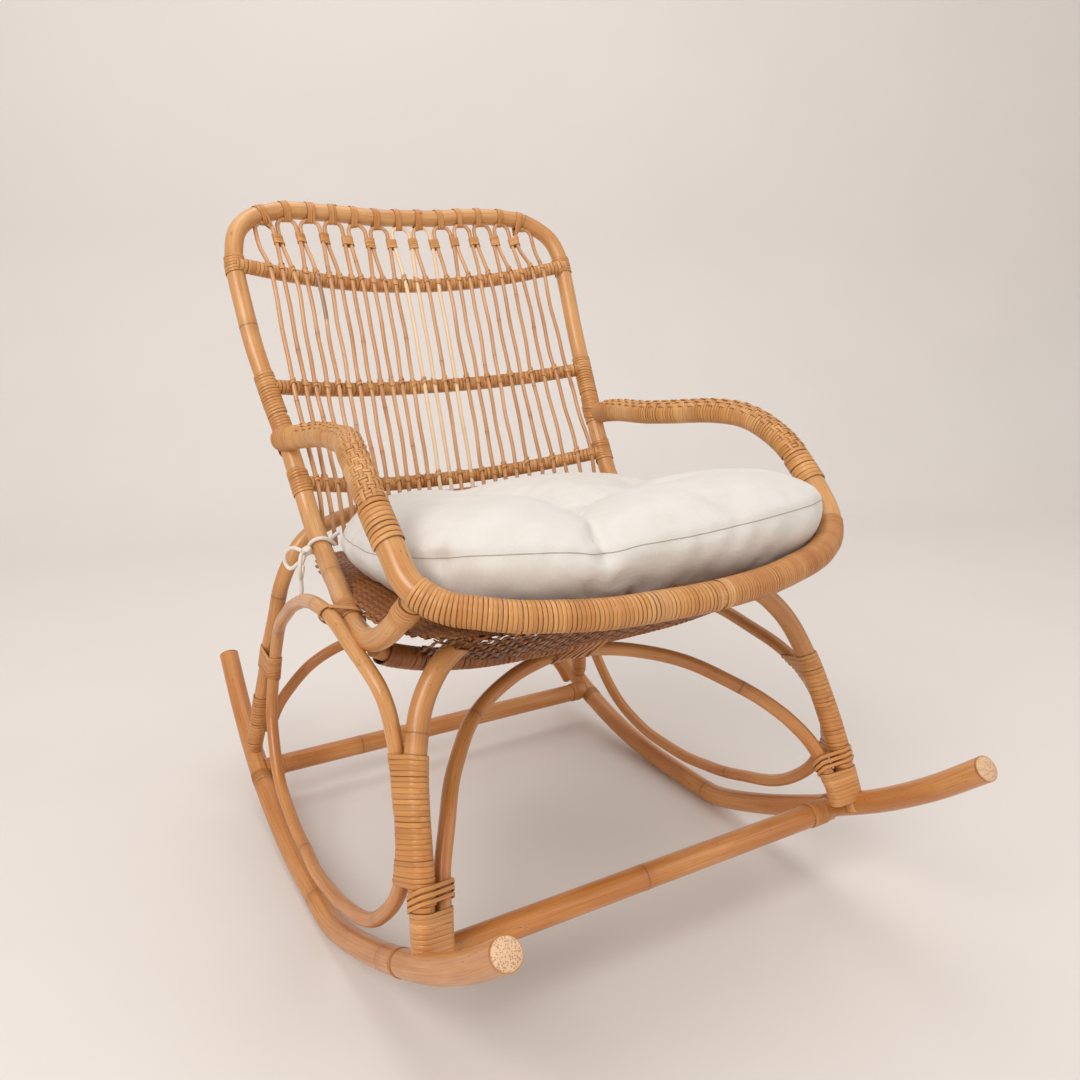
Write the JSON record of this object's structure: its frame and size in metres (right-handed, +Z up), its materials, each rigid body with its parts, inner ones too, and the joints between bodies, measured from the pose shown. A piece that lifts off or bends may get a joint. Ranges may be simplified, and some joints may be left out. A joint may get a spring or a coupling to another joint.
{
  "type": "rocking chair",
  "caption": "Rattan rocking chair with bent pole frame, open cane back, wrapped arms and front rim, woven seat and a tied cotton cushion; rocks on curved runners.",
  "frame": {"origin": "on the floor, in the middle of the chair's footprint", "axes": "+Z up, -Y the way the sitter faces, +X to the right of someone looking at the chair from its front"},
  "size_m": [0.608, 0.9525, 0.851],
  "materials": {
    "rattan_pole": "satin lacquer",
    "thin_cane": "satin",
    "binding_cane": "satin",
    "woven_cane": "satin",
    "cushion_cotton": "matt",
    "tie_tape": "matt"
  },
  "bodies": {
    "root": {"arm_and_front_rim": "rattan_pole", "arm_wrap_left": "binding_cane", "arm_wrap_right": "binding_cane", "back_cane_01": "thin_cane", "back_cane_02": "thin_cane", "back_cane_03": "thin_cane", "back_cane_04": "thin_cane", "back_cane_05": "thin_cane", "back_cane_06": "thin_cane", "back_cane_07": "thin_cane", "back_cane_08": "thin_cane", "back_cane_09": "thin_cane", "back_cane_10": "thin_cane", "back_cane_11": "thin_cane", "back_cane_12": "thin_cane", "back_cane_13": "thin_cane", "back_hoop": "rattan_pole", "back_rail_lower": "rattan_pole", "back_rail_mid": "rattan_pole", "back_rail_upper": "rattan_pole", "cane_top_bindings": "binding_cane", "cushion": "cushion_cotton", "front_arch": "rattan_pole", "front_leg_left": "rattan_pole", "front_leg_right": "rattan_pole", "front_leg_wrap_left": "binding_cane", "front_leg_wrap_right": "binding_cane", "front_stretcher": "rattan_pole", "low_rear_arch": "rattan_pole", "post_bindings_arm": "binding_cane", "post_bindings_lower": "binding_cane", "post_bindings_mid": "binding_cane", "post_bindings_upper": "binding_cane", "rear_leg_arch": "rattan_pole", "rear_leg_wrap_left": "binding_cane", "rear_leg_wrap_right": "binding_cane", "rear_stretcher": "rattan_pole", "rear_tie_left": "binding_cane", "rear_tie_right": "binding_cane", "rim_wrap": "binding_cane", "rocker_left": "rattan_pole", "rocker_right": "rattan_pole", "seat_bar": "rattan_pole", "seat_panel": "woven_cane", "seat_skirt": "woven_cane", "side_loop_left": "rattan_pole", "side_loop_right": "rattan_pole", "side_rail_bindings": "binding_cane", "tie_knots": "tie_tape", "tie_loop_back_left": "tie_tape", "tie_loop_back_right": "tie_tape", "tie_loop_front_left": "tie_tape", "tie_loop_front_right": "tie_tape", "tie_tail_left": "tie_tape", "tie_tail_right": "tie_tape", "tie_turn_left": "tie_tape", "tie_turn_right": "tie_tape"}
  },
  "joints": []
}
